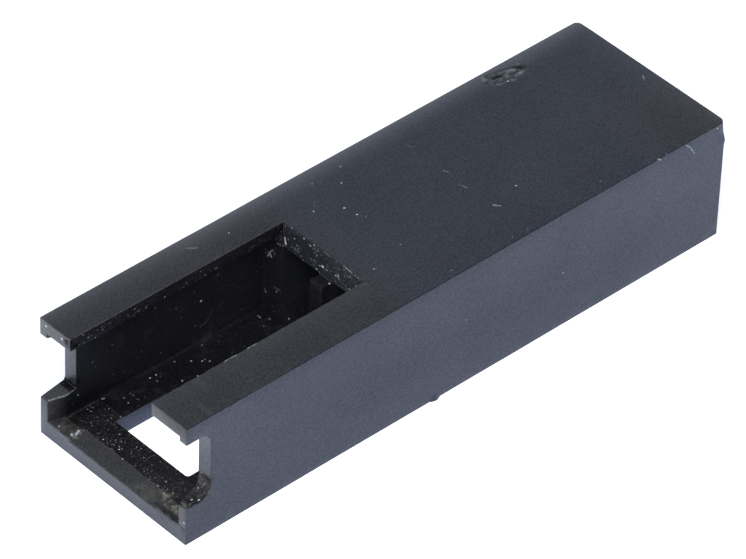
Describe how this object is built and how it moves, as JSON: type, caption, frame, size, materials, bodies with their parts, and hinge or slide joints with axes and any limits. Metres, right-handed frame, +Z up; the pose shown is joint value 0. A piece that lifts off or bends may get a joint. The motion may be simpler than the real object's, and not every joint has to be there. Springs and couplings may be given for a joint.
{
  "type": "pin header housing",
  "caption": "Slim black moulded connector housing with an open mating cavity, top keyway slot, notched mouth, floor latch window and rear wire entries for crimped pins.",
  "frame": {"origin": "middle of the underside", "axes": "+X along the length, from the mating mouth (-X end) to the wire entries (+X end); +Y across the contacts; +Z up, towards the keyway slot"},
  "size_m": [0.0254, 0.0076, 0.0053],
  "materials": {
    "black_plastic": "fine satin moulded black"
  },
  "bodies": {
    "root": {"housing": "black_plastic"}
  },
  "joints": []
}
